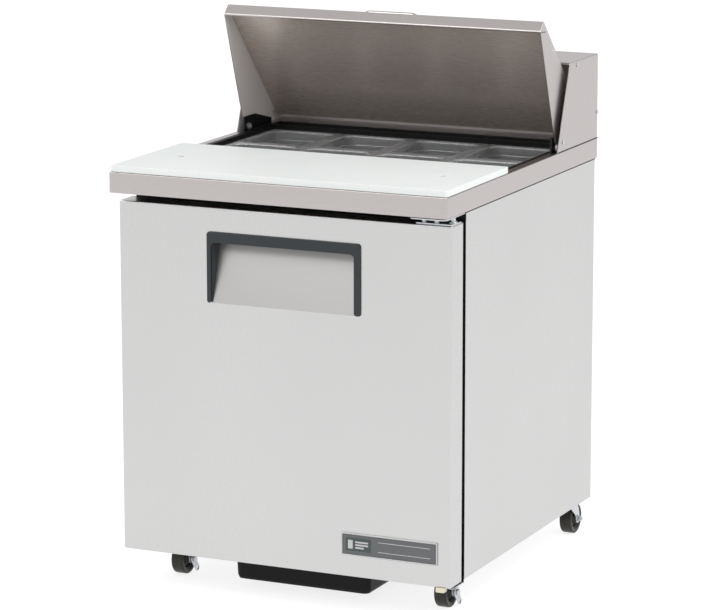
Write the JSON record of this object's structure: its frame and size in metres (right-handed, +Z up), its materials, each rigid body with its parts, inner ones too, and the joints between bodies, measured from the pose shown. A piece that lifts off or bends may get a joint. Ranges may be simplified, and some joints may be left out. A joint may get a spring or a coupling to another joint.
{
  "type": "sandwich prep table",
  "caption": "One-door refrigerated sandwich prep table on casters with a cutting board, a cold rail of food pans and an insulated lid that swings into a rear hood.",
  "frame": {"origin": "on the floor, midway in width and midway between the countertop's front edge and the rear wheels' rearmost point", "axes": "+Z up, the door faces -Y, +X to the right of a person who faces the door"},
  "size_m": [0.7044, 0.788, 1.0934],
  "materials": {
    "steel": "fine vertical brushing, satin",
    "steel_liner": "smooth satin, bright on the lid's inside",
    "base_sheet": "galvanised",
    "grille_sheet": "satin sheet",
    "foam": "rigid foam, foamed in place",
    "black_plastic": "smooth moulded",
    "handle_plastic": "fine moulded grain",
    "gasket": "soft satin",
    "badge": "blank field in a satin rim",
    "zinc": "zinc plated",
    "chrome_pull": "polished",
    "coated_wire": "plastic coated wire",
    "board": "finely textured polyethylene",
    "clear_pan": "clear polycarbonate",
    "caster_rubber": "satin rubber on a plastic centre",
    "coil_fins": "thin plain fins",
    "fan_plastic": "moulded",
    "fan_metal": "plain sheet",
    "compressor_paint": "black enamel",
    "shroud_paint": "dark enamel",
    "copper": "plain copper tube"
  },
  "bodies": {
    "cabinet": {"countertop": "steel", "cabinet_shell": "steel", "base_panel": "base_sheet", "interior_liner": "steel_liner", "wall_insulation": "foam", "breaker_frame": "black_plastic", "rail_liner": "black_plastic", "divider_bars": "zinc", "hood_shell": "steel", "hood_screws": "zinc", "lid_hinge_brackets": "zinc", "evaporator_housing": "steel_liner", "evaporator_coil": "coil_fins", "compressor": "compressor_paint", "condenser_coil": "coil_fins", "condenser_shroud": "shroud_paint", "refrigerant_lines": "copper", "rear_grille": "grille_sheet", "cord_gland": "black_plastic", "condensate_pan": "black_plastic", "shelf_pilasters": "zinc", "shelf_clips": "zinc", "door_hinge_brackets": "zinc", "caster_plates": "zinc"},
    "door": {"door_skin": "steel", "door_liner": "steel_liner", "door_insulation": "foam", "door_gasket": "gasket", "handle_surround": "handle_plastic", "handle_pocket": "steel", "nameplate": "badge", "door_hinge_leaves": "zinc"},
    "lid": {"lid_skin": "steel", "lid_liner": "steel_liner", "lid_insulation": "foam", "lid_handle": "chrome_pull", "lid_pivot_bolts": "zinc"},
    "board": {"cutting_board": "board"},
    "shelf": {"wire_shelf": "coated_wire"},
    "thermostat_dial": {"control_knob": "black_plastic"},
    "evaporator_fan": {"evaporator_fan": "fan_plastic"},
    "condenser_fan": {"condenser_fan": "fan_metal"},
    "food_pan_front_1": {"food_pan_front_1": "clear_pan"},
    "food_pan_front_2": {"food_pan_front_2": "clear_pan"},
    "food_pan_front_3": {"food_pan_front_3": "clear_pan"},
    "food_pan_front_4": {"food_pan_front_4": "clear_pan"},
    "food_pan_rear_1": {"food_pan_rear_1": "clear_pan"},
    "food_pan_rear_2": {"food_pan_rear_2": "clear_pan"},
    "food_pan_rear_3": {"food_pan_rear_3": "clear_pan"},
    "food_pan_rear_4": {"food_pan_rear_4": "clear_pan"},
    "caster_front_left": {"caster_fork_front_left": "zinc"},
    "wheel_front_left": {"caster_wheel_front_left": "caster_rubber"},
    "caster_front_right": {"caster_fork_front_right": "zinc"},
    "wheel_front_right": {"caster_wheel_front_right": "caster_rubber"},
    "caster_rear_left": {"caster_fork_rear_left": "zinc"},
    "wheel_rear_left": {"caster_wheel_rear_left": "caster_rubber"},
    "caster_rear_right": {"caster_fork_rear_right": "zinc"},
    "wheel_rear_right": {"caster_wheel_rear_right": "caster_rubber"},
    "brake_left": {"brake_pedal_left": "zinc"},
    "brake_right": {"brake_pedal_right": "zinc"}
  },
  "joints": [
    {"name": "door_hinge", "type": "hinge", "parent": "cabinet", "child": "door", "pos_m": [0.338, -0.337, 0.42], "axis": [0, 0, 1], "range_deg": [0, 120]},
    {"name": "lid_hinge", "type": "hinge", "parent": "cabinet", "child": "lid", "pos_m": [0, 0.172, 0.835], "axis": [-1, 0, 0], "range_deg": [-70.5, 0]},
    {"name": "board_lift", "type": "slide", "parent": "cabinet", "child": "board", "axis": [0, 0, 1], "range_m": [0, 0.12]},
    {"name": "shelf_lift", "type": "slide", "parent": "cabinet", "child": "shelf", "axis": [0, 0, 1], "range_m": [0, 0.04]},
    {"name": "thermostat_turn", "type": "hinge", "parent": "cabinet", "child": "thermostat_dial", "pos_m": [0.165, 0.101, 0.56], "axis": [0, -1, 0], "range_deg": [-135, 135]},
    {"name": "evaporator_fan_spin", "type": "hinge", "parent": "cabinet", "child": "evaporator_fan", "pos_m": [-0.115, 0.129, 0.515], "axis": [0, 1, 0], "continuous": true},
    {"name": "condenser_fan_spin", "type": "hinge", "parent": "cabinet", "child": "condenser_fan", "pos_m": [0.12, 0.311, 0.215], "axis": [0, 1, 0], "continuous": true},
    {"name": "pan_lift_front_1", "type": "slide", "parent": "cabinet", "child": "food_pan_front_1", "axis": [0, 0, 1], "range_m": [0, 0.11]},
    {"name": "pan_lift_front_2", "type": "slide", "parent": "cabinet", "child": "food_pan_front_2", "axis": [0, 0, 1], "range_m": [0, 0.11]},
    {"name": "pan_lift_front_3", "type": "slide", "parent": "cabinet", "child": "food_pan_front_3", "axis": [0, 0, 1], "range_m": [0, 0.11]},
    {"name": "pan_lift_front_4", "type": "slide", "parent": "cabinet", "child": "food_pan_front_4", "axis": [0, 0, 1], "range_m": [0, 0.11]},
    {"name": "pan_lift_rear_1", "type": "slide", "parent": "cabinet", "child": "food_pan_rear_1", "axis": [0, 0, 1], "range_m": [0, 0.045]},
    {"name": "pan_lift_rear_2", "type": "slide", "parent": "cabinet", "child": "food_pan_rear_2", "axis": [0, 0, 1], "range_m": [0, 0.045]},
    {"name": "pan_lift_rear_3", "type": "slide", "parent": "cabinet", "child": "food_pan_rear_3", "axis": [0, 0, 1], "range_m": [0, 0.045]},
    {"name": "pan_lift_rear_4", "type": "slide", "parent": "cabinet", "child": "food_pan_rear_4", "axis": [0, 0, 1], "range_m": [0, 0.045]},
    {"name": "swivel_front_left", "type": "hinge", "parent": "cabinet", "child": "caster_front_left", "pos_m": [-0.283, -0.261, 0.068], "axis": [0, 0, 1], "continuous": true},
    {"name": "roll_front_left", "type": "hinge", "parent": "caster_front_left", "child": "wheel_front_left", "pos_m": [-0.283, -0.2345, 0.0315], "axis": [1, 0, 0], "continuous": true},
    {"name": "swivel_front_right", "type": "hinge", "parent": "cabinet", "child": "caster_front_right", "pos_m": [0.283, -0.261, 0.068], "axis": [0, 0, 1], "continuous": true},
    {"name": "roll_front_right", "type": "hinge", "parent": "caster_front_right", "child": "wheel_front_right", "pos_m": [0.283, -0.2345, 0.0315], "axis": [1, 0, 0], "continuous": true},
    {"name": "swivel_rear_left", "type": "hinge", "parent": "cabinet", "child": "caster_rear_left", "pos_m": [-0.306, 0.336, 0.068], "axis": [0, 0, 1], "continuous": true},
    {"name": "roll_rear_left", "type": "hinge", "parent": "caster_rear_left", "child": "wheel_rear_left", "pos_m": [-0.306, 0.3625, 0.0315], "axis": [1, 0, 0], "continuous": true},
    {"name": "swivel_rear_right", "type": "hinge", "parent": "cabinet", "child": "caster_rear_right", "pos_m": [0.306, 0.336, 0.068], "axis": [0, 0, 1], "continuous": true},
    {"name": "roll_rear_right", "type": "hinge", "parent": "caster_rear_right", "child": "wheel_rear_right", "pos_m": [0.306, 0.3625, 0.0315], "axis": [1, 0, 0], "continuous": true},
    {"name": "brake_press_left", "type": "hinge", "parent": "caster_front_left", "child": "brake_left", "pos_m": [-0.262, -0.2345, 0.0315], "axis": [1, 0, 0], "range_deg": [0, 45]},
    {"name": "brake_press_right", "type": "hinge", "parent": "caster_front_right", "child": "brake_right", "pos_m": [0.304, -0.2345, 0.0315], "axis": [1, 0, 0], "range_deg": [0, 45]}
  ]
}
